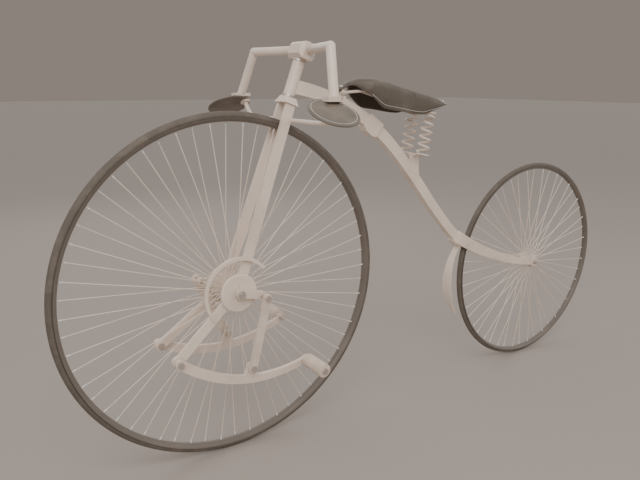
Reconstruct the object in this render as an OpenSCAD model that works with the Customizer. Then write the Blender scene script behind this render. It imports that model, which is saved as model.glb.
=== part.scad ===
// High-wheel bicycle driven by two foot levers.
// +X is forward, +Y is the rider's left, +Z is up. The origin lies on the ground, under the middle of the length.

/* [Wheels] */
// Radius of the front tyre's centre line
front_ring = 520; // [460:5:620]
// Thickness of the front tyre
front_tyre_d = 26; // [20:1:34]
// Radius of the rear tyre's centre line
rear_ring = 405; // [340:5:440]
// Thickness of the rear tyre
rear_tyre_d = 20; // [16:1:26]
// Distance between the two axles along the ground
wheelbase = 1391; // [1300:5:1600]
// Number of spokes in the front wheel, half on each flange
front_spoke_count = 60; // [40:2:72]
// Number of spokes in the rear wheel, half on each flange
rear_spoke_count = 48; // [36:2:60]
// Diameter of a spoke
spoke_d = 2.6; // [2:0.2:4]
// Wall of the steel rim under each tyre
rim_wall = 4; // [3:0.5:6]

/* [Front hub] */
// Diameter of the front axle
front_axle_d = 16; // [12:1:20]
// Diameter of the front hub flange
front_flange_d = 88; // [70:2:110]
// Distance of each front flange from the middle plane
front_flange_y = 34; // [28:1:40]
// Thickness of a hub flange
flange_t = 5; // [4:0.5:8]
// Diameter of the front hub barrel
front_barrel_d = 44; // [34:2:56]

/* [Front fork] */
// Lean of the steering axis, in degrees from upright
rake = 20; // [14:1:24]
// Gap from the front tyre up to the underside of the crown
crown_gap = 52; // [30:2:80]
// Distance of a blade's middle from the middle plane, at the crown
blade_top_y = 24; // [22:1:34]
// Distance of a blade's middle from the middle plane, at the axle
blade_axle_y = 46; // [45:1:60]
// Thickness of a blade, seen from the front
blade_t = 12; // [8:1:16]
// Width of a blade, seen from the side
blade_w = 30; // [22:1:40]
// Thickness of the crown
crown_h = 22; // [16:1:34]
// Length of the head tube
head_len = 104; // [80:2:150]
// Outside diameter of the head tube
head_d = 36; // [32:1:44]
// Diameter of the steerer inside it
steerer_d = 24; // [18:1:26]
// Height of each head bearing
head_bearing_h = 6; // [5:0.5:10]

/* [Lever drive] */
// How far each lever's pivot lies ahead of the axle
pivot_ahead = 207; // [170:2:240]
// How far each lever's pivot lies below the axle
pivot_below = 166; // [140:2:200]
// Distance from a lever's pivot to the pin that holds its link
lug_reach = 232; // [215:1:245]
// Distance between the two pins of a link
link_len = 220; // [205:1:235]
// Length of a crank, from axle to pin
crank_len = 71; // [50:1:78]
// Angle of the left crank below the level line, pointing to the rear
crank_angle = 12; // [0:1:30]
// Distance from a lever's pivot to its pedal
lever_len = 430; // [380:2:470]
// How far the lever bows below the line from its pivot to its pedal
lever_bow = 56; // [30:2:80]
// Height of a lever at its middle
lever_h = 31; // [22:1:38]
// Thickness of a lever
lever_t = 14; // [8:1:18]
// Diameter of every drive pin
drive_pin_d = 12; // [8:1:14]
// Length of a pedal sleeve
pedal_len = 100; // [80:2:120]
// Diameter of a pedal sleeve
pedal_d = 44; // [30:2:52]
// Diameter of the cover over each front bearing
cover_d = 118; // [80:2:130]
// Radius of the guard round the left crank
guard_ring = 107; // [100:1:125]

/* [Handlebar] */
// Diameter of the handlebar tube
bar_d = 27; // [20:1:32]
// Distance of each bend from the middle plane
bar_half = 220; // [180:5:260]
// How far each bend lies ahead of the clamp
bar_sweep = 48; // [0:2:70]
// How far the bar drops below each bend
bar_drop = 137; // [90:2:160]
// How far the dropped ends spread outwards
bar_spread = 55; // [20:1:80]
// Diameter of a hand pad
pad_d = 144; // [110:2:180]
// Thickness of a hand pad
pad_t = 8; // [6:0.5:14]
// Slope of a hand pad, down towards its outer edge, in degrees
pad_slope = 27; // [0:1:35]
// Diameter of the arm that carries each pad
arm_d = 14; // [10:1:18]

/* [Frame] */
// Height of the backbone at the head
spine_h_head = 41; // [34:1:50]
// Height of the backbone at its tail
spine_h_tail = 34; // [26:1:42]
// Width of the backbone across
spine_w = 28; // [22:1:32]
// Angle of the fork collar above the rear axle, in degrees
collar_angle = 19; // [14:1:30]
// Running gap between the rear tyre and the collar
collar_gap = 9; // [6:1:20]
// Length of the collar along the backbone
collar_len = 48; // [36:1:60]
// Thickness of a rear blade
rear_blade_t = 8; // [6:0.5:12]
// Distance of a rear blade's middle from the middle plane, at the axle
rear_blade_y = 36; // [32:1:50]
// Radius of the curve of the rear guard
rear_guard_ring = 222; // [200:2:260]
// Widest part of the rear guard
rear_guard_w = 44; // [30:1:56]

/* [Rear hub] */
// Diameter of the rear axle
rear_axle_d = 10; // [8:1:14]
// Diameter of the rear hub flange
rear_flange_d = 46; // [38:2:60]
// Distance of each rear flange from the middle plane
rear_flange_y = 22; // [18:1:26]
// Diameter of the rear hub barrel
rear_barrel_d = 26; // [22:1:34]

/* [Saddle] */
// Distance from the steering head to the tip of the saddle, along the ground
saddle_ahead = 376; // [360:2:400]
// Length of the saddle
saddle_len = 432; // [400:2:440]
// Width of the saddle across its flaps
saddle_w = 140; // [120:2:170]
// Thickness of the leather
leather_t = 7; // [5:0.5:10]
// Outside diameter of a saddle spring
spring_d = 46; // [38:1:50]
// Diameter of the spring wire
spring_wire = 8; // [5:0.5:10]
// Number of turns in a saddle spring
spring_turns = 5; // [4:1:7]
// Distance of each spring from the middle plane
spring_y = 42; // [38:1:50]

/* [Hidden] */
$fn = 64;

// Running clearance of a pin in its bore
run_fit = 0.05;
// Side gap beside a moving piece
side_gap = 0.4;
// Extra radius of the joint where a round bar bends
knuckle = 0.5;

// Wheels
front_r = front_ring + front_tyre_d / 2;
rear_r = rear_ring + rear_tyre_d / 2;
hub_x = (wheelbase + rear_r - front_r) / 2;
rear_x = hub_x - wheelbase;
spoke_seat = 0.15;
spoke_end_y = 3;

// Stack of pieces outboard of the front fork, as distances from the middle plane
blade_in = blade_axle_y - blade_t / 2;
blade_out = blade_axle_y + blade_t / 2;
boss_lip = 1;
bearing_d = front_axle_d + 20;
boss_d = bearing_d + 16;
cover_t = 5;
cover_out = blade_out + boss_lip + cover_t;
crank_t = 12;
crank_in = cover_out + 2.5;
crank_out = crank_in + crank_t;
crank_h = 24;
crank_pin_run = 24;
lever_out = crank_out + crank_pin_run;
lever_in = lever_out - lever_t;
nut_t = 7;
link_in = lever_out + 4;
link_t = 8;
link_out = link_in + link_t;
link_w = 26;
arm_w = blade_w - 2;
arm_straight = cover_d / 2 + 7;
arm_spacer = 6.5;
arm_inset = 0.5;
pivot_boss_r = blade_w / 2 + 1;
arm_splay = lever_in - arm_spacer - blade_out;
pin_r = drive_pin_d / 2;
eye_r = pin_r + 8;
guard_in = blade_out + 1;
guard_t = 8;
guard_w = 10;
guard_from = -45;
guard_to = 142;
rivet_d = 8;
cover_screw_d = 4;
screw_ring = (bearing_d + boss_d) / 4;
screw_depth = 9;

// Four-bar linkage: the pivot, the crank pins and the link pins, as [x, z] from the front axle
pivot = [pivot_ahead, -pivot_below];
pivot_reach = norm(pivot);
pivot_dir = pivot / pivot_reach;
pivot_angle = atan2(pivot[1], pivot[0]);
crank_pin = crank_len * [-cos(crank_angle), -sin(crank_angle)];
function pin_of(side) = side * crank_pin;
function lug_pin(pin) =
    let (gap = pin - pivot, d = norm(gap), u = gap / d,
         a = (lug_reach * lug_reach - link_len * link_len + d * d) / (2 * d),
         h = sqrt(lug_reach * lug_reach - a * a))
    pivot + a * u + h * [-u[1], u[0]];
lug_rise = 39;
lug_v = lug_rise - lever_bow;
lug_u = sqrt(lug_reach * lug_reach - lug_v * lug_v);
function lever_slope(pin) =
    let (arm = lug_pin(pin) - pivot) atan2(-arm[1], -arm[0]) - atan2(-lug_v, lug_u);
function link_turn(pin) = let (bar = pin - lug_pin(pin)) atan2(bar[0], bar[1]);
lever_steps = 28;
lever_tip_h = 20;
pedal_in = lever_out + 4;
pedal_out = pedal_in + pedal_len;

// Steering head, as distances up the steering axis from the front axle
crown_s = front_r + crown_gap;
crown_w = 2 * blade_top_y + blade_t + 12;
crown_d = blade_w + 16;
race_s = crown_s + crown_h;
tube_s = race_s + head_bearing_h;
tube_top_s = tube_s + head_len;
clamp_s = tube_top_s + head_bearing_h;
clamp_h = 50;
clamp_w = 84;
clamp_d = 56;
steerer_top_s = clamp_s + clamp_h - bar_d - 9;
bar_s = steerer_top_s + 3 + bar_d / 2;
clamp_bolt_d = 7;
function on_axis(s) = [hub_x - sin(rake) * s, front_r + cos(rake) * s];
clamp_at = on_axis(bar_s);

// Handlebar and pads
bend_at = [clamp_at[0] + bar_sweep, bar_half, clamp_at[1]];
drop_at = bend_at + [24, bar_spread, -bar_drop];
foot_size = [56, 30, 14];
pad_bolt_d = 9;
pad_back = 27;
pad_out = 45;
arm_bend = 85;
arm_flange_d = 34;
arm_flange_t = 5;

// Backbone and collar
collar_h = 46;
collar_w = 34;
tail_angle = 42;
collar_skew = tail_angle - collar_angle;
collar_dist = rear_r + collar_gap + (collar_len * cos(collar_skew) + collar_h * sin(collar_skew)) / 2;
collar_at = [rear_x + collar_dist * cos(collar_angle), rear_r + collar_dist * sin(collar_angle)];
tail_pull = 330;
lead_angle = 10;
lead_pull = 400;
spine_join = 27;
spine_steps = 40;
spine_from = on_axis(tube_s + spine_join);
spine_to = collar_at + collar_len / 2 * [cos(tail_angle), sin(tail_angle)];
spine = [
    spine_from,
    spine_from - lead_pull * [cos(lead_angle), sin(lead_angle)],
    spine_to + tail_pull * [cos(tail_angle), sin(tail_angle)],
    spine_to
];
function bezier(p, t) =
    pow(1 - t, 3) * p[0] + 3 * t * pow(1 - t, 2) * p[1] + 3 * t * t * (1 - t) * p[2] + pow(t, 3) * p[3];
function heading(p, t) =
    let (d = 3 * pow(1 - t, 2) * (p[1] - p[0]) + 6 * t * (1 - t) * (p[2] - p[1]) + 3 * t * t * (p[3] - p[2]))
    d / norm(d);
function strip(p, h0, h1, n) = concat(
    [for (i = [0:n]) let (t = i / n, d = heading(p, t)) bezier(p, t) + (h0 + (h1 - h0) * t) / 2 * [-d[1], d[0]]],
    [for (i = [n:-1:0]) let (t = i / n, d = heading(p, t)) bezier(p, t) - (h0 + (h1 - h0) * t) / 2 * [-d[1], d[0]]]
);
function spine_t(x, lo = 0, hi = 1, n = 20) =
    n == 0 ? (lo + hi) / 2 :
    let (m = (lo + hi) / 2) bezier(spine, m)[0] > x ? spine_t(x, m, hi, n - 1) : spine_t(x, lo, m, n - 1);
function spine_top(x) =
    let (t = spine_t(x), d = heading(spine, t))
    bezier(spine, t)[1] + (spine_h_head + (spine_h_tail - spine_h_head) * t) / 2 / abs(d[0]);

// Rear blades and guard
rear_boss_d = 40;
rear_tail_h = 24;
rear_stub = 9;
rear_end_step = 1;
rear_end_y = rear_blade_y + rear_blade_t / 2 + nut_t + rear_stub;
rear_blade_in = rear_blade_y - rear_blade_t / 2;
rear_blade_out = rear_blade_y + rear_blade_t / 2;
rear_blade_line = [
    collar_at + 14 * [cos(tail_angle), sin(tail_angle)],
    collar_at - 130 * [cos(30), sin(30)],
    [rear_x, rear_r] + 150 * [cos(8), sin(8)],
    [rear_x, rear_r]
];
rear_bearing_d = rear_axle_d + 8;
rear_bearing_w = 9;
rear_nose_y = rear_flange_y + flange_t / 2 + 3;
rear_guard_apex = 55;
rear_guard_angle = -3.5;
rear_guard_t = 4;
rear_guard_up = 42;
rear_guard_down = 40;

// Clip that holds the saddle's nose post to the backbone
clip_wall = 5;
clip_len = 62;
clip_drop = 13;
clip_u = 150;

// Saddle: its own outline is drawn from the tip, with u to the rear and v up
tip_x = hub_x - saddle_ahead;
tip_z = spine_top(tip_x) + 12;
nose_hinge_u = 26;
nose_hinge_v = -8;
nose_pin_d = 8;
rear_bar_u = saddle_len - 62;
rear_bar_v = -70;
spring_lean = 10;
spring_free = 140;
rail_d = 9;
seat_bar_r = rail_d / 2 + 2 * knuckle;
seat_t = 4;
hump_u = 115;
hump_v = 40;
crest_line = [
    [0, 0], [18, 11], [50, 26], [85, 36], [hump_u, hump_v], [150, 35],
    [saddle_len - 42, -22], [saddle_len, -44]
];
function crest(u) = lookup(u, crest_line);
spring_top = [tip_x - rear_bar_u, tip_z + rear_bar_v - rail_d / 2 - seat_t];
spring_base = spring_top + spring_free * [sin(spring_lean), -cos(spring_lean)];

// Lays a shape drawn in [x, z] upright and gives it a thickness from y0 to y1
module upright(y0, y1) {
    translate([0, y1, 0]) rotate([90, 0, 0]) linear_extrude(height = y1 - y0) children();
}
// Stands children on the front axle, with z along the steering axis
module on_steering() {
    translate([hub_x, 0, front_r]) rotate([0, -rake, 0]) children();
}
// A round bar along Y from y0 to y1, centred on an [x, z] point
module cross_bar(at, r, y0, y1, sides = 64) {
    translate([at[0], y0, at[1]]) rotate([-90, 0, 0]) cylinder(h = y1 - y0, r = r, $fn = sides);
}
// A round bar between two points in space
module rod(a, b, r) {
    d = b - a;
    translate(a) rotate([0, acos(d[2] / norm(d)), atan2(d[1], d[0])]) cylinder(h = norm(d), r = r);
}
// The slightly fuller ball at a bend, its poles along the bar that comes from a
module ball_joint(a, b, r) {
    d = b - a;
    translate(b) rotate([0, acos(d[2] / norm(d)), atan2(d[1], d[0])]) sphere(r = r + knuckle);
}
// A round bar through a list of points, with a ball at each bend
module bent_rod(points, r) {
    for (i = [1:len(points) - 1]) rod(points[i - 1], points[i], r);
    for (i = [1:len(points) - 2]) ball_joint(points[i - 1], points[i], r);
}
// Puts children, drawn on the left, on the side given: 1 for left and -1 for right
module on_side(side) {
    if (side > 0) children();
    else mirror([0, 1, 0]) children();
}

// Wheels
module tyre(ring, d) {
    rotate([90, 0, 0]) rotate_extrude($fn = 180) translate([ring, 0]) circle(d = d);
}
module rim(ring, d) {
    rotate([90, 0, 0]) rotate_extrude($fn = 180) difference() {
        translate([ring, 0]) circle(d = d + 2 * rim_wall);
        translate([ring, 0]) circle(d = d);
        translate([ring - d / 6, -d]) square([2 * d, 2 * d]);
    }
}
module spokes(ring, d, count, flange_d, flange_y) {
    start = flange_d / 2 + spoke_seat;
    end = ring - d / 2 - rim_wall - spoke_seat;
    run = end - start;
    drop = flange_y - spoke_end_y;
    for (side = [1, -1], i = [0:count / 2 - 1])
        on_side(side) rotate([0, (i + (side + 1) / 4) * 720 / count, 0])
            translate([0, flange_y, start]) rotate([atan2(drop, run), 0, 0])
                cylinder(h = norm([run, drop]), d = spoke_d, $fn = 16);
}
// A hub turned about Y: barrel, two flanges and a short nose at each end
module hub(barrel_d, flange_d, flange_y, nose_y) {
    rotate([90, 0, 0]) {
        cylinder(h = 2 * nose_y, d = barrel_d, center = true);
        for (side = [1, -1]) translate([0, 0, side * flange_y]) cylinder(h = flange_t, d = flange_d, center = true);
    }
}

module front_tyre() {
    color("dimgray") translate([hub_x, 0, front_r]) tyre(front_ring, front_tyre_d);
}
module front_rim() {
    color("dimgray") translate([hub_x, 0, front_r]) rim(front_ring, front_tyre_d);
}
module front_spokes() {
    color("linen") translate([hub_x, 0, front_r])
        spokes(front_ring, front_tyre_d, front_spoke_count, front_flange_d, front_flange_y);
}
module front_hub() {
    color("linen") difference() {
        translate([hub_x, 0, front_r])
            hub(front_barrel_d, front_flange_d, front_flange_y, front_flange_y + flange_t / 2 + 2);
        cross_bar([hub_x, front_r], front_axle_d / 2, -crank_out, crank_out);
    }
}
module front_axle() {
    color("silver") cross_bar([hub_x, front_r], front_axle_d / 2, -crank_out - nut_t - 2, crank_out + nut_t + 2);
}

// A crank in its own frame: axle at the origin, pin straight up
module crank_plate() {
    upright(crank_in, crank_out) difference() {
        union() {
            circle(d = front_axle_d + 16);
            translate([-crank_h / 2, 0]) square([crank_h, crank_len]);
            translate([0, crank_len]) circle(d = crank_h + 2);
        }
        circle(d = front_axle_d);
        translate([0, crank_len]) circle(d = drive_pin_d);
    }
}
// Turns a crank to its place: the right one is opposite to the left one
module crank_turn(side) {
    translate([hub_x, 0, front_r]) rotate([0, -90 - crank_angle + (side > 0 ? 0 : 180), 0]) on_side(side) children();
}
module crank(side) {
    color("linen") crank_turn(side) crank_plate();
}
module crank_stub(side) {
    color("silver") crank_turn(side) cross_bar([0, crank_len], pin_r, crank_in, link_in - side_gap);
}
module crank_nuts() {
    color("silver") for (side = [1, -1]) on_side(side) difference() {
        cross_bar([hub_x, front_r], front_axle_d / 2 + 4, crank_out, crank_out + nut_t, 6);
        cross_bar([hub_x, front_r], front_axle_d / 2, crank_in, crank_out + nut_t + 1);
    }
}

module rear_tyre() {
    color("dimgray") translate([rear_x, 0, rear_r]) tyre(rear_ring, rear_tyre_d);
}
module rear_rim() {
    color("dimgray") translate([rear_x, 0, rear_r]) rim(rear_ring, rear_tyre_d);
}
module rear_spokes() {
    color("linen") translate([rear_x, 0, rear_r])
        spokes(rear_ring, rear_tyre_d, rear_spoke_count, rear_flange_d, rear_flange_y);
}
module rear_hub() {
    color("linen") difference() {
        translate([rear_x, 0, rear_r]) hub(rear_barrel_d, rear_flange_d, rear_flange_y, rear_nose_y);
        cross_bar([rear_x, rear_r], rear_axle_d / 2 + 2, -rear_blade_y, rear_blade_y);
        for (side = [1, -1]) on_side(side)
            cross_bar([rear_x, rear_r], rear_bearing_d / 2, rear_nose_y - rear_bearing_w, rear_nose_y + 1);
    }
}
module rear_bearings() {
    color("silver") for (side = [1, -1]) on_side(side) difference() {
        cross_bar([rear_x, rear_r], rear_bearing_d / 2, rear_nose_y - rear_bearing_w, rear_nose_y);
        cross_bar([rear_x, rear_r], rear_axle_d / 2 + run_fit, 0, rear_blade_y);
    }
}
module rear_axle() {
    shoulder_y = rear_blade_out + nut_t;
    color("silver") {
        cross_bar([rear_x, rear_r], rear_axle_d / 2, -shoulder_y, shoulder_y);
        cross_bar([rear_x, rear_r], rear_axle_d / 2 - rear_end_step, -rear_end_y, rear_end_y);
    }
}
module rear_axle_nuts() {
    color("silver") for (side = [1, -1]) on_side(side) difference() {
        cross_bar([rear_x, rear_r], rear_axle_d / 2 + 4, rear_blade_out, rear_blade_out + nut_t, 6);
        cross_bar([rear_x, rear_r], rear_axle_d / 2, rear_blade_in, rear_blade_out + nut_t + 1);
    }
}

// Front fork
module fork_crown() {
    color("linen") on_steering() {
        intersection() {
            translate([0, crown_w / 2, 0]) rotate([90, 0, 0]) linear_extrude(height = crown_w) polygon([
                [-crown_d / 2, crown_s], [crown_d / 2, crown_s],
                [head_d / 2, race_s], [-head_d / 2, race_s]
            ]);
            translate([-crown_d / 2, 0, 0]) rotate([90, 0, 90]) linear_extrude(height = crown_d) polygon([
                [-crown_w / 2, crown_s], [crown_w / 2, crown_s],
                [head_d / 2, race_s], [-head_d / 2, race_s]
            ]);
        }
        translate([0, 0, race_s - 1]) cylinder(h = steerer_top_s - race_s + 1, d = steerer_d);
    }
}
// The two rivets that hold the crank guard to the left blade
module guard_rivets(y0, y1) {
    blade_dir = [-sin(rake), cos(rake)];
    for (dir = [blade_dir, pivot_dir])
        cross_bar([hub_x, front_r] + guard_ring * dir, rivet_d / 2, y0, y1);
}
module cover_screw_set(y0, y1) {
    for (i = [0:2])
        cross_bar([hub_x, front_r] + screw_ring * [cos(120 * i + 90), sin(120 * i + 90)], cover_screw_d / 2, y0, y1);
}
// The arm from the axle to a lever's pivot: straight past the bearing cover, then splayed outwards
module pivot_arm() {
    near = arm_inset;
    far = blade_t - arm_inset;
    level_from = pivot_reach - pivot_boss_r - 5;
    translate([hub_x, blade_in, front_r]) rotate([0, -pivot_angle, 0]) translate([0, 0, -arm_w / 2])
        linear_extrude(height = arm_w) polygon([
            [0, near], [arm_straight, near], [level_from, near + arm_splay], [pivot_reach, near + arm_splay],
            [pivot_reach, far + arm_splay], [level_from, far + arm_splay], [arm_straight, far], [0, far]
        ]);
}
module fork_blade(side) {
    color("linen") on_side(side) difference() {
        union() {
            on_steering() translate([-blade_w / 2, 0, 0]) rotate([90, 0, 90]) linear_extrude(height = blade_w)
                polygon([
                    [blade_top_y - blade_t / 2, crown_s], [blade_top_y + blade_t / 2, crown_s],
                    [blade_out, 0], [blade_in, 0]
                ]);
            cross_bar([hub_x, front_r], boss_d / 2, blade_in - boss_lip, blade_out + boss_lip);
            pivot_arm();
            cross_bar([hub_x, front_r] + pivot, pivot_boss_r, blade_in + arm_splay, blade_out + arm_splay);
        }
        cross_bar([hub_x, front_r], bearing_d / 2, 0, crank_out);
        cross_bar([hub_x, front_r] + pivot, pin_r, 0, lever_out);
        cover_screw_set(blade_out + boss_lip - screw_depth, crank_out);
        if (side > 0) guard_rivets(0, crank_out);
    }
}
module front_bearings() {
    color("silver") for (side = [1, -1]) on_side(side) difference() {
        cross_bar([hub_x, front_r], bearing_d / 2, blade_in - boss_lip, blade_out + boss_lip);
        cross_bar([hub_x, front_r], front_axle_d / 2 + run_fit, 0, crank_out);
    }
}
module bearing_covers() {
    color("linen") for (side = [1, -1]) on_side(side) difference() {
        translate([hub_x, blade_out + boss_lip, front_r]) rotate([-90, 0, 0]) union() {
            cylinder(h = cover_t - 2, d = cover_d);
            translate([0, 0, cover_t - 2]) cylinder(h = 2, d1 = cover_d, d2 = cover_d - 6);
        }
        cross_bar([hub_x, front_r], front_axle_d / 2 + 2, 0, crank_out);
        cover_screw_set(0, crank_out);
    }
}
module cover_screws() {
    color("silver") for (side = [1, -1]) on_side(side)
        cover_screw_set(blade_out + boss_lip - screw_depth, cover_out);
}
module crank_guard() {
    color("linen") {
        difference() {
            translate([hub_x, guard_in + guard_t / 2, front_r]) rotate([90, 0, 0]) rotate([0, 0, guard_from])
                rotate_extrude(angle = guard_to - guard_from, $fn = 180)
                    translate([guard_ring, 0]) square([guard_w, guard_t], center = true);
            pivot_arm();
        }
        guard_rivets(blade_in - 6, guard_in + guard_t);
    }
}
// The bolt on which a lever turns: head inside the blade, spacer, shank and nut
module lever_bolt(side) {
    at = [hub_x, front_r] + pivot;
    color("silver") on_side(side) {
        cross_bar(at, pin_r + 5, blade_in + arm_splay - nut_t, blade_in + arm_splay, 6);
        cross_bar(at, pin_r, blade_in + arm_splay - 1, lever_out + nut_t + 1);
        cross_bar(at, pin_r + 5, blade_out + arm_splay, lever_in - side_gap);
        cross_bar(at, pin_r + 4, lever_out + side_gap, lever_out + nut_t, 6);
    }
}

// Lever drive. Each piece is drawn in [u, v] from the lever's pivot, with u towards the pedal.
module lever_turn(side) {
    translate([hub_x + pivot[0], 0, front_r + pivot[1]])
        rotate([0, -lever_slope(pin_of(side)), 0]) mirror([1, 0, 0]) on_side(side) children();
}
function lever_mid(t) = [lever_len * t, -4 * lever_bow * t * (1 - t)];
module lever(side) {
    upper = [for (i = [0:lever_steps]) let (t = i / lever_steps)
        lever_mid(t) + [0, (lever_h + (lever_tip_h - lever_h) * t) / 2]];
    lower = [for (i = [lever_steps:-1:0]) let (t = i / lever_steps)
        lever_mid(t) - [0, (lever_h + (lever_tip_h - lever_h) * t) / 2]];
    color("linen") lever_turn(side) difference() {
        union() {
            upright(lever_in, lever_out) polygon(concat(upper, lower));
            cross_bar([0, 0], eye_r, lever_in, lever_out);
            cross_bar([lever_len, 0], pin_r + 6, lever_in, lever_out);
            cross_bar([lug_u, lug_v], pin_r + 7, lever_in, lever_out);
            upright(lever_in, lever_out) polygon([
                [lug_u - pin_r - 5, lug_v], [lug_u + pin_r + 5, lug_v],
                [lug_u + pin_r + 14, lug_v - lug_rise], [lug_u - pin_r - 14, lug_v - lug_rise]
            ]);
        }
        cross_bar([0, 0], pin_r + run_fit, 0, link_out);
        cross_bar([lever_len, 0], pin_r, 0, link_out);
        cross_bar([lug_u, lug_v], pin_r, 0, link_out);
    }
}
module link_pin(side) {
    color("silver") lever_turn(side) {
        cross_bar([lug_u, lug_v], pin_r + 3, lever_in - 4, lever_in);
        cross_bar([lug_u, lug_v], pin_r, lever_in - 1, link_out + nut_t);
        cross_bar([lug_u, lug_v], pin_r + 4, lever_out, link_in - side_gap);
        cross_bar([lug_u, lug_v], pin_r + 4, link_out + side_gap, link_out + nut_t, 6);
    }
}
// Stands a link on its lower pin, with z towards the crank pin
module link_place(side) {
    at = [hub_x, front_r] + lug_pin(pin_of(side));
    translate([at[0], 0, at[1]]) rotate([0, link_turn(pin_of(side)), 0]) on_side(side) children();
}
module link(side) {
    color("linen") link_place(side) upright(link_in, link_out) difference() {
        union() {
            circle(r = eye_r);
            translate([-link_w / 2, 0]) square([link_w, link_len]);
            translate([0, link_len]) circle(r = eye_r);
        }
        circle(r = pin_r + run_fit);
        translate([0, link_len]) circle(r = pin_r);
    }
}
module link_head(side) {
    color("silver") link_place(side) {
        cross_bar([0, link_len], pin_r, link_in, link_out + 1);
        cross_bar([0, link_len], pin_r + 4, link_out, link_out + nut_t - 1, 6);
    }
}
module pedal_spindle(side) {
    color("silver") lever_turn(side) {
        cross_bar([lever_len, 0], pin_r + 3, lever_in - 4, lever_in);
        cross_bar([lever_len, 0], pin_r, lever_in - 1, pedal_out + nut_t);
        cross_bar([lever_len, 0], pin_r + 3, lever_out, pedal_in - side_gap);
        cross_bar([lever_len, 0], pin_r + 4, pedal_out + side_gap, pedal_out + nut_t, 6);
    }
}
module pedal(side) {
    color("linen") lever_turn(side) difference() {
        union() {
            cross_bar([lever_len, 0], pedal_d / 2, pedal_in + 3, pedal_out - 3);
            cross_bar([lever_len, 0], pedal_d / 2 - 3, pedal_in, pedal_out);
        }
        cross_bar([lever_len, 0], pin_r + run_fit, 0, pedal_out + 1);
    }
}

// Steering head
module head_tube() {
    color("linen") on_steering() difference() {
        translate([0, 0, tube_s]) cylinder(h = head_len, d = head_d);
        translate([0, 0, tube_s - 1]) cylinder(h = head_len + 2, d = steerer_d + 5);
    }
}
module head_bearing(s, grow) {
    color("silver") on_steering() difference() {
        translate([0, 0, s + side_gap]) cylinder(h = head_bearing_h - side_gap, d = head_d + grow);
        translate([0, 0, s - 1]) cylinder(h = head_bearing_h + 2, d = steerer_d + 2 * run_fit);
    }
}
module clamp_bolt_set(s0, s1) {
    for (side = [1, -1])
        translate([0, side * (clamp_w / 2 - 14), s0]) cylinder(h = s1 - s0, d = clamp_bolt_d);
}
// The block that grips the bar and the steerer, with its ends and edges cut to flats
module bar_clamp() {
    cut = 11;
    color("linen") difference() {
        on_steering() difference() {
            intersection() {
                translate([0, clamp_w / 2, clamp_s]) rotate([90, 0, 0]) linear_extrude(height = clamp_w) polygon([
                    [-clamp_d / 2, cut], [-clamp_d / 2 + cut, 0], [clamp_d / 2 - cut, 0], [clamp_d / 2, cut],
                    [clamp_d / 2, clamp_h - cut], [clamp_d / 2 - cut, clamp_h],
                    [-clamp_d / 2 + cut, clamp_h], [-clamp_d / 2, clamp_h - cut]
                ]);
                translate([0, 0, clamp_s]) linear_extrude(height = clamp_h) polygon([
                    [-clamp_d / 2, clamp_w / 2 - cut], [-clamp_d / 2 + cut, clamp_w / 2],
                    [clamp_d / 2 - cut, clamp_w / 2], [clamp_d / 2, clamp_w / 2 - cut],
                    [clamp_d / 2, cut - clamp_w / 2], [clamp_d / 2 - cut, -clamp_w / 2],
                    [cut - clamp_d / 2, -clamp_w / 2], [-clamp_d / 2, cut - clamp_w / 2]
                ]);
            }
            translate([0, 0, clamp_s - 1]) cylinder(h = steerer_top_s - clamp_s + 1, d = steerer_d);
            clamp_bolt_set(clamp_s, clamp_s + clamp_h + 1);
        }
        cross_bar(clamp_at, bar_d / 2, -clamp_w, clamp_w);
    }
}
module clamp_bolts() {
    color("silver") difference() {
        on_steering() {
            clamp_bolt_set(clamp_s, clamp_s + clamp_h);
            for (side = [1, -1]) translate([0, side * (clamp_w / 2 - 14), clamp_s + clamp_h])
                cylinder(h = 4, r = clamp_bolt_d / 2 + 2, $fn = 6);
        }
        cross_bar(clamp_at, bar_d / 2, -clamp_w, clamp_w);
    }
}
// The centre lines of both halves of the bar, as round bars of radius r
module bar_line(r) {
    start = [clamp_at[0], 0, clamp_at[1]];
    ahead = [clamp_at[0], clamp_w / 2 + 5, clamp_at[1]];
    rod([start[0], -ahead[1], start[2]], ahead, r);
    for (side = [1, -1]) on_side(side) {
        ball_joint(start, ahead, r);
        bent_rod([ahead, bend_at, drop_at], r);
    }
}
module handlebar() {
    color("linen") difference() {
        union() {
            bar_line(bar_d / 2);
            for (side = [1, -1]) on_side(side)
                translate(drop_at - [foot_size[0] / 2, foot_size[1] / 2, foot_size[2] / 2]) cube(foot_size);
        }
        for (side = [1, -1]) on_side(side) pad_frame() translate([-pad_d, -pad_d, -pad_t - 100])
            cube([2 * pad_d, 2 * pad_d, pad_t + 100]);
        for (side = [1, -1]) on_side(side) pad_bolt_place() translate([0, 0, -50]) cylinder(h = 80, d = pad_bolt_d);
    }
}
// A hand pad's frame: origin on its top face above its bolt, z out of the pad
module pad_frame() {
    translate(drop_at - [0, 0, foot_size[2] / 2 + 3]) rotate([-pad_slope, 0, 0]) children();
}
module pad_bolt_place() {
    pad_frame() translate([-foot_size[0] / 2 + 12, 6, 0]) children();
}
module hand_pad(side) {
    color("gray") on_side(side) difference() {
        pad_frame() translate([pad_back, pad_out, -pad_t]) union() {
            translate([0, 0, 2]) cylinder(h = pad_t - 4, d = pad_d);
            translate([0, 0, pad_t - 2]) cylinder(h = 2, d1 = pad_d, d2 = pad_d - 6);
            cylinder(h = 2, d1 = pad_d - 6, d2 = pad_d);
        }
        pad_bolt_place() translate([0, 0, -50]) cylinder(h = 80, d = pad_bolt_d);
    }
}
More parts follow.
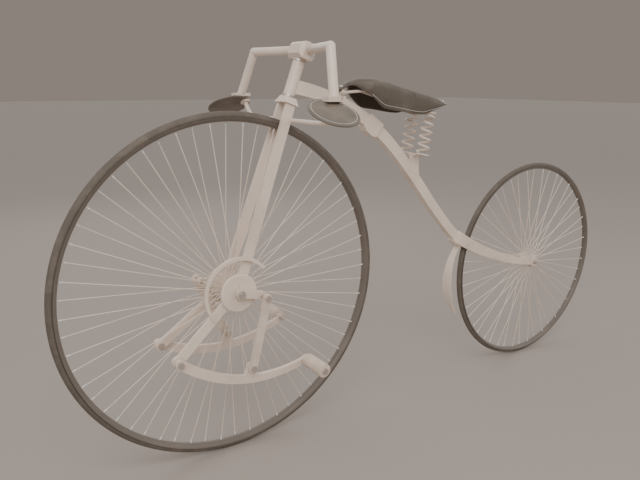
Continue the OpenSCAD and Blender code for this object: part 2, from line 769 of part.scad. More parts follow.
// The arm leaves the blade level, then bends up to meet the pad square on
module pad_arm(side) {
    turn = 90 - pad_slope;
    end = drop_at + [-foot_size[0] / 2 + 12, 0, -foot_size[2] / 2 - 3]
        + [0, 6 * cos(pad_slope) - (pad_t + arm_flange_t - 1) * sin(pad_slope),
           -6 * sin(pad_slope) - (pad_t + arm_flange_t - 1) * cos(pad_slope)];
    level = end[2] - arm_bend * (1 - cos(turn));
    bend_y = end[1] - arm_bend * sin(turn);
    color("linen") on_side(side) difference() {
        union() {
            translate([end[0], 0, level]) rotate([-90, 0, 0]) cylinder(h = bend_y, d = arm_d);
            translate([end[0], bend_y, level]) rotate([90, 0, 0]) cylinder(h = 8, d = arm_d + 3, center = true);
            translate([end[0], bend_y, level + arm_bend]) rotate([90, 0, 90]) rotate([0, 0, -90])
                rotate_extrude(angle = turn, $fn = 96) translate([arm_bend, 0]) circle(d = arm_d);
            pad_bolt_place() translate([0, 0, -pad_t - arm_flange_t]) cylinder(h = arm_flange_t, d = arm_flange_d);
        }
        on_steering() translate([-blade_w, 0, 0]) rotate([90, 0, 90]) linear_extrude(height = 2 * blade_w)
            polygon([
                [-10, crown_s], [blade_top_y + blade_t / 2, crown_s], [blade_out, 0], [-10, 0]
            ]);
    }
}
module pad_bolts() {
    color("silver") for (side = [1, -1]) on_side(side) pad_bolt_place() {
        translate([0, 0, -pad_t]) cylinder(h = pad_t + 6, d = pad_bolt_d);
    }
}

// Frame
module backbone() {
    color("linen") difference() {
        upright(-spine_w / 2, spine_w / 2) polygon(strip(spine, spine_h_head, spine_h_tail, spine_steps));
        on_steering() translate([0, 0, crown_s]) cylinder(h = clamp_s - crown_s, d = head_d);
    }
}
// The backbone's outline, grown sideways, for cutting the pieces that grip it
module spine_cut() {
    upright(-spine_w / 2, spine_w / 2) polygon(strip(spine, spine_h_head, spine_h_tail, spine_steps));
}
module saddle_clip() {
    t = spine_t(tip_x - clip_u);
    d = heading(spine, t);
    at = bezier(spine, t);
    h = spine_h_head + (spine_h_tail - spine_h_head) * t;
    color("linen") difference() {
        translate([at[0], 0, at[1]]) rotate([0, -atan2(-d[1], -d[0]), 0]) {
            upright(-spine_w / 2 - clip_wall, spine_w / 2 + clip_wall) polygon([
                [-clip_len / 2, h / 2 + clip_wall], [clip_len / 2, h / 2 + clip_wall],
                [clip_len / 2, -h / 2 - clip_wall], [clip_len / 4, -h / 2 - clip_drop],
                [-clip_len / 4, -h / 2 - clip_drop], [-clip_len / 2, -h / 2 - clip_wall]
            ]);
            upright(-6, 6) translate([-clip_len / 2 - 8, -h / 2 - clip_drop + 4]) square([22, 18]);
        }
        spine_cut();
    }
}
module nose_post() {
    at = [tip_x - nose_hinge_u, tip_z + nose_hinge_v];
    color("linen") difference() {
        upright(-7, 7) {
            translate(at) circle(r = nose_pin_d / 2 + 4);
            translate(at - [11, 40]) square([22, 40]);
        }
        spine_cut();
        cross_bar(at, nose_pin_d / 2, -20, 20);
    }
    color("silver") cross_bar(at, nose_pin_d / 2, -24, 24);
}
module rear_collar() {
    color("linen") translate([collar_at[0], 0, collar_at[1]]) rotate([0, -tail_angle, 0])
        translate([-collar_len / 2, -collar_w / 2, -collar_h / 2]) cube([collar_len, collar_w, collar_h]);
}
module rear_blade(side) {
    front_x = collar_at[0] + collar_len / 2;
    color("linen") on_side(side) difference() {
        intersection() {
            union() {
                upright(0, rear_blade_out + 1) polygon(strip(rear_blade_line, collar_h, rear_tail_h, 20));
                cross_bar([rear_x, rear_r], rear_boss_d / 2, 0, rear_blade_out + 1);
            }
            linear_extrude(height = collar_at[1] + collar_h) polygon([
                [front_x, collar_w / 2], [front_x - collar_len - 6, collar_w / 2],
                [rear_x + rear_boss_d / 2, rear_blade_in], [rear_x - rear_boss_d, rear_blade_in],
                [rear_x - rear_boss_d, rear_blade_out], [rear_x + rear_boss_d / 2, rear_blade_out],
                [front_x - collar_len - 6, collar_w / 2 + rear_blade_t], [front_x, collar_w / 2 + rear_blade_t]
            ]);
        }
        cross_bar([rear_x, rear_r], rear_axle_d / 2, 0, rear_blade_out + 2);
    }
}
module rear_guard() {
    centre_dist = rear_r + rear_guard_apex - rear_guard_ring;
    centre = [rear_x + centre_dist * cos(rear_guard_angle), rear_r + centre_dist * sin(rear_guard_angle)];
    top_z = centre[1] + rear_guard_ring * sin(rear_guard_up);
    low_z = centre[1] - rear_guard_ring * sin(rear_guard_down);
    color("linen") difference() {
        intersection() {
            translate([centre[0], 0, centre[1]]) rotate([90, 0, 0]) rotate([0, 0, -rear_guard_down])
                rotate_extrude(angle = rear_guard_up + rear_guard_down, $fn = 180)
                    translate([rear_guard_ring, -rear_guard_w / 2]) square([rear_guard_t, rear_guard_w]);
            translate([centre[0], 0, 0]) rotate([90, 0, 90]) linear_extrude(height = 2 * rear_guard_ring) polygon([
                [-9, top_z + 9], [9, top_z + 9],
                [rear_guard_w / 2, centre[1]], [rear_guard_w / 2, centre[1] - 60], [6, low_z],
                [-6, low_z], [-rear_guard_w / 2, centre[1] - 60], [-rear_guard_w / 2, centre[1]]
            ]);
        }
        translate([collar_at[0], 0, collar_at[1]]) rotate([0, -tail_angle, 0])
            translate([-collar_len / 2, -collar_w / 2, -collar_h / 2]) cube([collar_len, collar_w, collar_h]);
    }
}

// Saddle
module from_tip() {
    translate([tip_x, 0, tip_z]) mirror([1, 0, 0]) children();
}
// Stands children on the base of the left spring, with z up the spring
module on_spring(side) {
    translate([spring_base[0], side * spring_y, spring_base[1]]) rotate([0, -spring_lean, 0]) children();
}
module spring_bracket() {
    post_foot = spine_top(spring_base[0]) - 20;
    color("linen") {
        difference() {
            union() {
                upright(-9, 9) polygon([
                    spring_base + [-14, -3], spring_base + [14, -3],
                    [spring_base[0] + 20, post_foot], [spring_base[0] - 20, post_foot]
                ]);
                translate([spring_base[0], 0, spring_base[1]]) rotate([0, -spring_lean, 0])
                    translate([-9, -spring_y, -seat_t - 6]) cube([18, 2 * spring_y, 8]);
            }
            spine_cut();
        }
        for (side = [1, -1]) on_spring(side) translate([0, 0, -seat_t]) cylinder(h = seat_t, d = spring_d + 3);
    }
}
// A helix of round wire, swept as rings of points
module spring_coil() {
    r = (spring_d - spring_wire) / 2;
    steps = 14;
    last = steps * spring_turns;
    sides = 8;
    rise = (spring_free - spring_wire) / last;
    lean = atan2(rise, 2 * PI * r / steps);
    rings = [for (k = [0:last], q = [0:sides - 1])
        let (a = 360 * k / steps, b = 360 * q / sides,
             out = [cos(a), sin(a), 0], up = [sin(a) * sin(lean), -cos(a) * sin(lean), cos(lean)])
        r * out + [0, 0, spring_wire / 2 + rise * k] + spring_wire / 2 * (cos(b) * out + sin(b) * up)];
    sheath = [for (k = [0:last - 1], q = [0:sides - 1]) let (n = (q + 1) % sides, a = k * sides, b = a + sides)
        each [[a + q, b + q, a + n], [a + n, b + q, b + n]]];
    ends = [[for (q = [0:sides - 1]) q], [for (q = [sides - 1:-1:0]) last * sides + q]];
    polyhedron(points = rings, faces = concat(sheath, ends), convexity = 12);
}
module saddle_springs() {
    color("linen") for (side = [1, -1]) on_spring(side) spring_coil();
}
module saddle_frame() {
    rear_v = crest(saddle_len - 24) - leather_t - seat_bar_r - 0.9;
    color("silver") {
        from_tip() for (side = [1, -1]) on_side(side) {
            difference() {
                union() {
                    cross_bar([nose_hinge_u, nose_hinge_v], nose_pin_d / 2 + 4, 7 + side_gap, 15);
                    bent_rod([
                        [nose_hinge_u + 4, 11.5, nose_hinge_v], [hump_u, 28, nose_hinge_v + 6],
                        [rear_bar_u, spring_y, rear_bar_v], [saddle_len - 24, spring_y, rear_v]
                    ], rail_d / 2);
                }
                cross_bar([nose_hinge_u, nose_hinge_v], nose_pin_d / 2 + run_fit, 0, 30);
            }
            cross_bar([rear_bar_u, rear_bar_v], seat_bar_r, -1, spring_y + 10);
            cross_bar([saddle_len - 24, rear_v], seat_bar_r, -1, saddle_w / 2 - leather_t - 4);
        }
        for (side = [1, -1]) on_spring(side) translate([0, 0, spring_free]) cylinder(h = seat_t, d = spring_d + 3);
    }
}
module saddle_plan(wall) {
    right = [[-1, 12], [20, 17], [60, 24], [100, saddle_w / 2 - 4], [120, saddle_w / 2],
        [saddle_len - 22, saddle_w / 2], [saddle_len, saddle_w / 2 - 12]];
    polygon(concat(
        [for (p = right) [p[0], max(p[1] - wall, 4)]],
        [for (i = [len(right) - 1:-1:0]) [right[i][0], -max(right[i][1] - wall, 4)]]
    ));
}
module saddle_cover() {
    skirt = [[saddle_len, -51], [saddle_len - 72, -70], [saddle_len - 118, -82], [150, -56], [115, -28], [84, -2],
        [60, 15], [20, 2.5], [2, -6]];
    color("dimgray") from_tip() difference() {
        intersection() {
            upright(-saddle_w, saddle_w) polygon(concat(crest_line, skirt));
            translate([0, 0, -150]) linear_extrude(height = 300) saddle_plan(0);
        }
        intersection() {
            upright(-saddle_w, saddle_w) polygon(concat(
                [for (p = crest_line) if (p[0] >= 50) [p[0], p[1] - leather_t]],
                [[saddle_len + 20, -60], [saddle_len + 20, -150], [50, -150]]
            ));
            translate([0, 0, -200]) linear_extrude(height = 400) union() {
                saddle_plan(leather_t);
                translate([saddle_len - 30, 12 - saddle_w / 2]) square([60, saddle_w - 24]);
            }
        }
    }
}

front_tyre();
front_rim();
front_spokes();
front_hub();
front_axle();
crank(1);  // crank_left
crank(-1);  // crank_right
crank_nuts();
crank_stub(1);  // crank_pin_left
crank_stub(-1);  // crank_pin_right
rear_tyre();
rear_rim();
rear_spokes();
rear_hub();
rear_bearings();
rear_axle();
rear_axle_nuts();
fork_crown();
fork_blade(1);  // fork_blade_left
fork_blade(-1);  // fork_blade_right
front_bearings();
bearing_covers();
cover_screws();
crank_guard();
lever_bolt(1);  // lever_bolt_left
lever_bolt(-1);  // lever_bolt_right
lever(1);  // lever_left
lever(-1);  // lever_right
link_pin(1);  // link_pin_left
link_pin(-1);  // link_pin_right
link(1);  // link_left
link(-1);  // link_right
link_head(1);  // link_head_left
link_head(-1);  // link_head_right
pedal(1);  // pedal_left
pedal(-1);  // pedal_right
pedal_spindle(1);  // pedal_spindle_left
pedal_spindle(-1);  // pedal_spindle_right
head_tube();
head_bearing(race_s, 4);  // head_bearing_lower
head_bearing(tube_top_s, 4);  // head_bearing_upper
bar_clamp();
clamp_bolts();
handlebar();
hand_pad(1);  // hand_pad_left
hand_pad(-1);  // hand_pad_right
pad_arm(1);  // pad_arm_left
pad_arm(-1);  // pad_arm_right
pad_bolts();
backbone();
saddle_clip();
nose_post();
rear_collar();
rear_blade(1);  // rear_blade_left
rear_blade(-1);  // rear_blade_right
rear_guard();
spring_bracket();
saddle_springs();
saddle_frame();
saddle_cover();
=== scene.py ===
# High-wheel bicycle driven by two foot levers: an enamelled steel frame, solid rubber tyres and a sprung
# leather saddle. Metres, with +X towards the big wheel, +Y to the rider's left and +Z up.
import math
import bpy
from mathutils import Matrix, Vector


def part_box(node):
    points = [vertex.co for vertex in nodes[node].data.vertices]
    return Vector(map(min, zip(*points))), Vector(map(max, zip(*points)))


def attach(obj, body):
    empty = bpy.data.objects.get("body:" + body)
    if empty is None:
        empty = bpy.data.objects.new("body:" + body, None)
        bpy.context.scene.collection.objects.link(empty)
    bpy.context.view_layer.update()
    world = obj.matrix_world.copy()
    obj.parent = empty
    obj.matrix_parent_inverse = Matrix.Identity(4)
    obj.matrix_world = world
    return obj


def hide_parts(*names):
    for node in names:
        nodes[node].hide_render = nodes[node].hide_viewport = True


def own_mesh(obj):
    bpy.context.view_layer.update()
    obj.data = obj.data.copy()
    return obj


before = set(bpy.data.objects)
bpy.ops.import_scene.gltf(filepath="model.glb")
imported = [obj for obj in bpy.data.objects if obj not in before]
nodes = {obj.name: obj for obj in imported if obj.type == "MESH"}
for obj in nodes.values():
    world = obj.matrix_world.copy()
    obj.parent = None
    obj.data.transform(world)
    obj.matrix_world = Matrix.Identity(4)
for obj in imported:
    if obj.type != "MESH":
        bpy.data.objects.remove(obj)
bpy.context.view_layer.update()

# Camera: it stands ahead of the big wheel on the rider's left, at chest height, and looks back and a
# little down.
EYE = Vector((1.4191, 1.6765, 1.1435))
LOOK_YAW, LOOK_PITCH, LOOK_ROLL = math.radians(-123.46), math.radians(-14.0), math.radians(0.36)
look = Vector((math.cos(LOOK_PITCH) * math.cos(LOOK_YAW), math.cos(LOOK_PITCH) * math.sin(LOOK_YAW),
               math.sin(LOOK_PITCH)))
lens = bpy.data.cameras.new("camera")
lens.lens, lens.sensor_width, lens.clip_end = 35.31, 36.0, 60.0
camera = bpy.data.objects.new("camera", lens)
turned = look.to_track_quat("-Z", "Y").to_matrix() @ Matrix.Rotation(LOOK_ROLL, 3, "Z")
camera.matrix_world = Matrix.Translation(EYE) @ turned.to_4x4()
bpy.context.scene.collection.objects.link(camera)
bpy.context.scene.camera = camera

# Studio: a plain warm floor that runs off to a background of the same tone, one wide soft light overhead
# and a weaker one from the side.
FLOOR_TONE = (0.37, 0.325, 0.295, 1.0)
DAYLIGHT = (1.0, 0.965, 0.93, 1.0)
DAYLIGHT_POWER = 0.72


def plain_material(name):
    """A new material with one Principled shader, and that shader."""
    made = bpy.data.materials.new(name)
    made.use_nodes = True
    made.node_tree.nodes.clear()
    skin = made.node_tree.nodes.new("ShaderNodeBsdfPrincipled")
    end = made.node_tree.nodes.new("ShaderNodeOutputMaterial")
    made.node_tree.links.new(skin.outputs["BSDF"], end.inputs["Surface"])
    return made, skin


floor_paint, floor_skin = plain_material("floor_paint")
floor_skin.inputs["Base Color"].default_value = FLOOR_TONE
floor_skin.inputs["Roughness"].default_value = 0.85
floor_mesh = bpy.data.meshes.new("floor")
FLOOR_HALF = 40.0
corners = [(-1, -1), (1, -1), (1, 1), (-1, 1)]
floor_mesh.from_pydata([(FLOOR_HALF * x, FLOOR_HALF * y, -0.0005) for x, y in corners], [], [(0, 1, 2, 3)])
floor_mesh.materials.append(floor_paint)
floor = bpy.data.objects.new("floor", floor_mesh)
bpy.context.scene.collection.objects.link(floor)

world = bpy.data.worlds.new("studio")
bpy.context.scene.world = world
world.use_nodes = True
air = world.node_tree
ambient = air.nodes["Background"]
ambient.inputs["Color"].default_value = DAYLIGHT
ambient.inputs["Strength"].default_value = DAYLIGHT_POWER
backdrop = air.nodes.new("ShaderNodeBackground")
backdrop.inputs["Color"].default_value = tuple(f * d for f, d in zip(FLOOR_TONE, DAYLIGHT))
backdrop.inputs["Strength"].default_value = DAYLIGHT_POWER
seen = air.nodes.new("ShaderNodeLightPath")
either = air.nodes.new("ShaderNodeMixShader")
air.links.new(seen.outputs["Is Camera Ray"], either.inputs["Fac"])
air.links.new(ambient.outputs["Background"], either.inputs[1])
air.links.new(backdrop.outputs["Background"], either.inputs[2])
air.links.new(either.outputs["Shader"], air.nodes["World Output"].inputs["Surface"])


def soft_light(name, place, aim, size, power, tint):
    """A square area light of the given size, turned towards a point."""
    light = bpy.data.lights.new(name, "AREA")
    light.size, light.energy, light.color = size, power, tint
    lamp = bpy.data.objects.new(name, light)
    turn = (Vector(aim) - Vector(place)).to_track_quat("-Z", "Y").to_matrix().to_4x4()
    lamp.matrix_world = Matrix.Translation(Vector(place)) @ turn
    bpy.context.scene.collection.objects.link(lamp)


soft_light("key_light", (2.2, 2.6, 3.6), (0.0, 0.0, 0.5), 2.6, 95, (1.0, 0.96, 0.92))
soft_light("fill_light", (-3.0, 2.4, 2.6), (-0.2, 0.0, 0.5), 3.0, 25, (1.0, 0.95, 0.90))
soft_light("back_light", (-0.5, -3.4, 2.8), (0.0, 0.0, 0.6), 3.0, 25, (1.0, 0.97, 0.94))


# Enamelled steel: brushed-on stove enamel over forged and tubular steel. It shows soft brush marks, a
# slightly uneven tone, grime in broad patches and a few small chips down to dark primer.
def group_tree(name, inputs, outputs):
    """An empty shader group with the named sockets, its input node and its output node."""
    tree = bpy.data.node_groups.new(name, "ShaderNodeTree")
    for socket, kind, value in inputs:
        made = tree.interface.new_socket(name=socket, in_out="INPUT", socket_type=kind)
        made.default_value = value
    for socket, kind in outputs:
        tree.interface.new_socket(name=socket, in_out="OUTPUT", socket_type=kind)
    return tree, tree.nodes.new("NodeGroupInput"), tree.nodes.new("NodeGroupOutput")


def noise(tree, vector, scale, detail=4.0, rough=0.55):
    """A noise texture in a tree, read at the given vector."""
    made = tree.nodes.new("ShaderNodeTexNoise")
    made.inputs["Detail"].default_value = detail
    made.inputs["Roughness"].default_value = rough
    if isinstance(scale, float):
        made.inputs["Scale"].default_value = scale
    else:
        tree.links.new(scale, made.inputs["Scale"])
    tree.links.new(vector, made.inputs["Vector"])
    return made.outputs["Fac"]


def ramp(tree, value, low, high, out_low=0.0, out_high=1.0):
    """Maps a value from one range to another, with soft ends."""
    made = tree.nodes.new("ShaderNodeMapRange")
    made.interpolation_type = "SMOOTHSTEP"
    for socket, number in (("From Min", low), ("From Max", high), ("To Min", out_low), ("To Max",
                                                            out_high)):
        made.inputs[socket].default_value = number
    tree.links.new(value, made.inputs["Value"])
    return made.outputs["Result"]


def blend_colour(tree, share, first, second):
    """Mixes two colours by a share; each is a socket or a plain colour."""
    made = tree.nodes.new("ShaderNodeMix")
    made.data_type = "RGBA"
    tree.links.new(share, made.inputs["Factor"])
    for socket, value in ((made.inputs[6], first), (made.inputs[7], second)):
        if isinstance(value, tuple):
            socket.default_value = value
        else:
            tree.links.new(value, socket)
    return made.outputs[2]


def calc(tree, operation, first, second):
    """One step of arithmetic on sockets or numbers."""
    made = tree.nodes.new("ShaderNodeMath")
    made.operation = operation
    for socket, value in zip(made.inputs, (first, second)):
        if isinstance(value, (int, float)):
            socket.default_value = value
        else:
            tree.links.new(value, socket)
    return made.outputs[0]


FLOAT, COLOUR = "NodeSocketFloat", "NodeSocketColor"
enamel_tree, enamel_in, enamel_out = group_tree(
    "enamel_surface",
    [("Colour", COLOUR, (1, 1, 1, 1)), ("Grime", COLOUR, (0.2, 0.2, 0.2, 1)), ("Primer", COLOUR, (0.1,
                                                            0.1, 0.1, 1)),
     ("Patch Scale", FLOAT, 7.0), ("Brush Scale", FLOAT, 260.0)],
    [("Colour", COLOUR), ("Roughness", FLOAT), ("Height", FLOAT)],
)
enamel_at = enamel_tree.nodes.new("ShaderNodeTexCoord").outputs["Object"]
patches = noise(enamel_tree, enamel_at, enamel_in.outputs["Patch Scale"], 6.0)
brushed = noise(enamel_tree, enamel_at, enamel_in.outputs["Brush Scale"], 3.0)
speckle = noise(enamel_tree, enamel_at, 90.0, 2.0)
chips = calc(enamel_tree, "MULTIPLY", ramp(enamel_tree, speckle, 0.70, 0.74), ramp(enamel_tree, patches,
                                                            0.50, 0.62))
grimy = blend_colour(enamel_tree, ramp(enamel_tree, patches, 0.42, 0.72, 0.0, 0.34),
                     enamel_in.outputs["Colour"],
                     enamel_in.outputs["Grime"])
chipped = blend_colour(enamel_tree, calc(enamel_tree, "MULTIPLY", chips, 0.75), grimy,
                       enamel_in.outputs["Primer"])
enamel_tree.links.new(chipped, enamel_out.inputs["Colour"])
dull = calc(enamel_tree, "ADD", ramp(enamel_tree, patches, 0.3, 0.7, 0.34, 0.52), calc(enamel_tree,
                                                            "MULTIPLY", chips, 0.3))
enamel_tree.links.new(dull, enamel_out.inputs["Roughness"])
lumps = calc(enamel_tree, "SUBTRACT", calc(enamel_tree, "MULTIPLY", brushed, 0.35), calc(enamel_tree,
                                                            "MULTIPLY", chips, 0.8))
enamel_tree.links.new(lumps, enamel_out.inputs["Height"])


def dressed(name, tree, values, bump, metal=0.0, coat=0.0, fixed_rough=None):
    """A material whose colour, roughness and relief come from a surface group with its own values."""
    made, skin = plain_material(name)
    surface = made.node_tree.nodes.new("ShaderNodeGroup")
    surface.node_tree = tree
    for socket, value in values.items():
        surface.inputs[socket].default_value = value
    relief = made.node_tree.nodes.new("ShaderNodeBump")
    relief.inputs["Strength"].default_value = 0.6
    relief.inputs["Distance"].default_value = bump
    skin.inputs["Metallic"].default_value = metal
    skin.inputs["Coat Weight"].default_value = coat
    link = made.node_tree.links.new
    link(surface.outputs["Colour"], skin.inputs["Base Color"])
    link(surface.outputs["Roughness"], skin.inputs["Roughness"])
    link(surface.outputs["Height"], relief.inputs["Height"])
    link(relief.outputs["Normal"], skin.inputs["Normal"])
    return made


def wear(material, *names):
    """Gives CAD nodes their finish."""
    for name in names:
        for place in nodes[name].material_slots:
            place.material = material


CREAM = (0.80, 0.68, 0.585, 1.0)
cream_enamel = dressed("cream_enamel", enamel_tree, {
    "Colour": CREAM, "Grime": (0.50, 0.40, 0.32, 1.0), "Primer": (0.16, 0.12, 0.10,
                                                            1.0)}, 0.0006, coat=0.15)

# Backbone and steering head: a forged backbone of tapering section, brazed to a steel head tube, with the
# clip and post that carry the saddle's nose and the collar that holds the rear blades.
wear(cream_enamel, "backbone", "head_tube", "saddle_clip", "nose_post", "rear_collar", "rear_blade_left",
     "rear_blade_right", "rear_guard", "spring_bracket")

# Fork and handlebar: two flat steel blades under a forged crown, a bar clamped on the steerer, and the
# arms that brace each hand pad from the blade.
wear(cream_enamel, "fork_crown", "fork_blade_left", "fork_blade_right", "bearing_covers", "crank_guard",
     "bar_clamp",
     "handlebar", "pad_arm_left", "pad_arm_right")

# Lever drive: forged levers, links and cranks in the same enamel, worn a little darker where feet rub
# them.
drive_enamel = dressed("drive_enamel", enamel_tree, {
    "Colour": (0.77, 0.65, 0.56, 1.0), "Grime": (0.40, 0.31, 0.24, 1.0), "Primer": (0.13, 0.10, 0.08, 1.0),
    "Patch Scale": 14.0, "Brush Scale": 320.0}, 0.0007, coat=0.10)
wear(drive_enamel, "lever_left", "lever_right", "link_left", "link_right", "crank_left", "crank_right")

# Bright steel: turned axles, pins, nuts and bearings, left bare and oiled. Fine marks run round the
# turned faces.
steel_tree, steel_in, steel_out = group_tree(
    "turned_steel",
    [("Colour", COLOUR, (1, 1, 1, 1)), ("Tarnish", COLOUR, (0.2, 0.2, 0.2, 1)), ("Line Scale", FLOAT,
                                                            900.0)],
    [("Colour", COLOUR), ("Roughness", FLOAT), ("Height", FLOAT)],
)
steel_at = steel_tree.nodes.new("ShaderNodeTexCoord").outputs["Object"]
stretch = steel_tree.nodes.new("ShaderNodeMapping")
stretch.inputs["Scale"].default_value = (0.04, 1.0, 0.04)
steel_tree.links.new(steel_at, stretch.inputs["Vector"])
lines = noise(steel_tree, stretch.outputs["Vector"], steel_in.outputs["Line Scale"], 3.0)
stains = noise(steel_tree, steel_at, 38.0, 5.0)
tone = blend_colour(steel_tree, ramp(steel_tree, stains, 0.45, 0.75, 0.0, 0.6), steel_in.outputs["Colour"],
                    steel_in.outputs["Tarnish"])
steel_tree.links.new(tone, steel_out.inputs["Colour"])
steel_tree.links.new(ramp(steel_tree, stains, 0.3, 0.7, 0.26, 0.46), steel_out.inputs["Roughness"])
steel_tree.links.new(lines, steel_out.inputs["Height"])
bright_steel = dressed("bright_steel", steel_tree, {
    "Colour": (0.66, 0.60, 0.55, 1.0), "Tarnish": (0.36, 0.30, 0.25, 1.0)}, 0.00012, metal=0.85)
wear(bright_steel, "front_axle", "crank_nuts", "crank_pin_left", "crank_pin_right", "rear_bearings",
     "rear_axle",
     "rear_axle_nuts", "front_bearings", "cover_screws", "lever_bolt_left", "lever_bolt_right",
     "link_pin_left",
     "link_pin_right", "link_head_left", "link_head_right", "pedal_spindle_left", "pedal_spindle_right",
     "head_bearing_lower", "head_bearing_upper", "clamp_bolts", "pad_bolts")

# Hubs and spokes: turned hubs with direct spokes of plain wire, enamelled with the frame. Each spoke ends
# in a small collar at the rim and a head at the flange, both set out evenly round the wheel.
wear(cream_enamel, "front_hub", "rear_hub", "front_spokes", "rear_spokes")


def geometry_tree(name, inputs, takes_mesh=False):
    """An empty Geometry Nodes tree with the named sockets, its input node and its output node."""
    tree = bpy.data.node_groups.new(name, "GeometryNodeTree")
    if takes_mesh:
        tree.interface.new_socket(name="Path", in_out="INPUT", socket_type="NodeSocketGeometry")
    for socket, kind in inputs:
        tree.interface.new_socket(name=socket, in_out="INPUT", socket_type=kind)
    tree.interface.new_socket(name="Piece", in_out="OUTPUT", socket_type="NodeSocketGeometry")
    return tree, tree.nodes.new("NodeGroupInput"), tree.nodes.new("NodeGroupOutput")


def close_tree(tree, made, material, end):
    """Realizes the instances, sets the material and ends the tree."""
    real = tree.nodes.new("GeometryNodeRealizeInstances")
    coat = tree.nodes.new("GeometryNodeSetMaterial")
    tree.links.new(made, real.inputs["Geometry"])
    tree.links.new(real.outputs["Geometry"], coat.inputs["Geometry"])
    tree.links.new(material, coat.inputs["Material"])
    tree.links.new(coat.outputs["Geometry"], end.inputs["Piece"])


def grow(tree, values, place=Matrix.Identity(4), path=None):
    """Runs a tree once with the given values and returns the mesh it makes, set in its place."""
    seed = bpy.data.objects.new("seed", path or bpy.data.meshes.new("seed"))
    bpy.context.scene.collection.objects.link(seed)
    growth = seed.modifiers.new("growth", "NODES")
    growth.node_group = tree
    for socket in tree.interface.items_tree:
        if socket.in_out == "INPUT" and socket.name in values:
            growth[socket.identifier] = values[socket.name]
    ready = seed.evaluated_get(bpy.context.evaluated_depsgraph_get())
    mesh = bpy.data.meshes.new_from_object(ready)
    bpy.data.objects.remove(seed)
    mesh.transform(place)
    return mesh


def joined(name, meshes, body, smooth=True):
    """Joins meshes into one piece at the origin that rides on a body."""
    import bmesh
    whole = bmesh.new()
    for mesh in meshes:
        whole.from_mesh(mesh)
    made = bpy.data.meshes.new(name)
    whole.to_mesh(made)
    whole.free()
    made.materials.append(meshes[0].materials[0])
    for face in made.polygons:
        face.material_index = 0
        face.use_smooth = smooth
    piece = bpy.data.objects.new(name, made)
    bpy.context.scene.collection.objects.link(piece)
    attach(piece, body)
    return piece


stud_tree, stud_in, stud_out = geometry_tree("ring_of_studs", [
    ("Count", "NodeSocketInt"), ("Ring Radius", FLOAT), ("Stud Radius", FLOAT), ("Stud Length", FLOAT),
    ("Sides", "NodeSocketInt"), ("Material", "NodeSocketMaterial")])
ring = stud_tree.nodes.new("GeometryNodeMeshCircle")
stud = stud_tree.nodes.new("GeometryNodeMeshCylinder")
outward = stud_tree.nodes.new("FunctionNodeAlignEulerToVector")
outward.axis = "Z"
where = stud_tree.nodes.new("GeometryNodeInputPosition")
scatter = stud_tree.nodes.new("GeometryNodeInstanceOnPoints")
for source, socket in (("Count", ring.inputs["Vertices"]), ("Ring Radius", ring.inputs["Radius"]),
                       ("Stud Radius", stud.inputs["Radius"]), ("Stud Length", stud.inputs["Depth"]),
                       ("Sides", stud.inputs["Vertices"])):
    stud_tree.links.new(stud_in.outputs[source], socket)
stud_tree.links.new(where.outputs["Position"], outward.inputs["Vector"])
stud_tree.links.new(ring.outputs["Mesh"], scatter.inputs["Points"])
stud_tree.links.new(stud.outputs["Mesh"], scatter.inputs["Instance"])
stud_tree.links.new(outward.outputs["Rotation"], scatter.inputs["Rotation"])
close_tree(stud_tree, scatter.outputs["Instances"], stud_in.outputs["Material"], stud_out)


def centre_of(name):
    """The middle of a CAD node's box."""
    low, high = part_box(name)
    return (Vector(low) + Vector(high)) / 2


def on_wheel(centre, across, turn):
    """Stands a ring drawn flat on the wheel's plane, moved sideways and turned by an angle."""
    upright = Matrix.Rotation(math.radians(90), 4, "X") @ Matrix.Rotation(math.radians(turn), 4, "Z")
    return Matrix.Translation(centre + Vector((0, across, 0))) @ upright


def spoke_ends(name, wheel, body, count, collar_ring, collar_y, head_ring, head_y):
    """Collars at the rim and heads at the flange, on both sides of one wheel."""
    step = 720 / count
    parts = []
    for side in (1, -1):
        turn = 90 - (step / 2 if side > 0 else 0)
        for ring_r, y, radius, length, sides in ((collar_ring, collar_y, 0.0020, 0.010, 8), (head_ring,
                                                            head_y, 0.0022, 0.004, 8)):
            parts.append(grow(stud_tree, {"Count": count // 2, "Ring Radius": ring_r, "Stud Radius": radius,
                                          "Stud Length": length, "Sides": sides, "Material": cream_enamel},
                              on_wheel(centre_of(wheel), side * y, turn)))
    return joined(name, parts, body, smooth=False)


spoke_ends("front_spoke_ends", "front_tyre", "front_wheel", 60, 0.4957, 0.0035, 0.0467, 0.0338)
spoke_ends("rear_spoke_ends", "rear_tyre", "rear_wheel", 48, 0.3837, 0.0034, 0.0257, 0.0218)

# Tyres: solid round rubber cemented into the rim. The tread is worn smooth along its middle, dusty at the
# sides, with fine mould lines that run right round.
rubber_tree, rubber_in, rubber_out = group_tree(
    "solid_rubber",
    [("Colour", COLOUR, (0.1, 0.1, 0.1, 1)), ("Dust", COLOUR, (0.3, 0.3, 0.3, 1)), ("Line Scale", FLOAT,
                                                            420.0)],
    [("Colour", COLOUR), ("Roughness", FLOAT), ("Height", FLOAT)],
)
rubber_at = rubber_tree.nodes.new("ShaderNodeTexCoord").outputs["Object"]
dusting = noise(rubber_tree, rubber_at, 22.0, 7.0, 0.65)
pores = noise(rubber_tree, rubber_at, 700.0, 2.0)
mould = rubber_tree.nodes.new("ShaderNodeTexWave")
mould.bands_direction = "Y"
mould.inputs["Distortion"].default_value = 0.15
rubber_tree.links.new(rubber_at, mould.inputs["Vector"])
rubber_tree.links.new(rubber_in.outputs["Line Scale"], mould.inputs["Scale"])
dusty = blend_colour(rubber_tree, ramp(rubber_tree, dusting, 0.40, 0.75, 0.05, 0.75),
                     rubber_in.outputs["Colour"],
                     rubber_in.outputs["Dust"])
rubber_tree.links.new(dusty, rubber_out.inputs["Colour"])
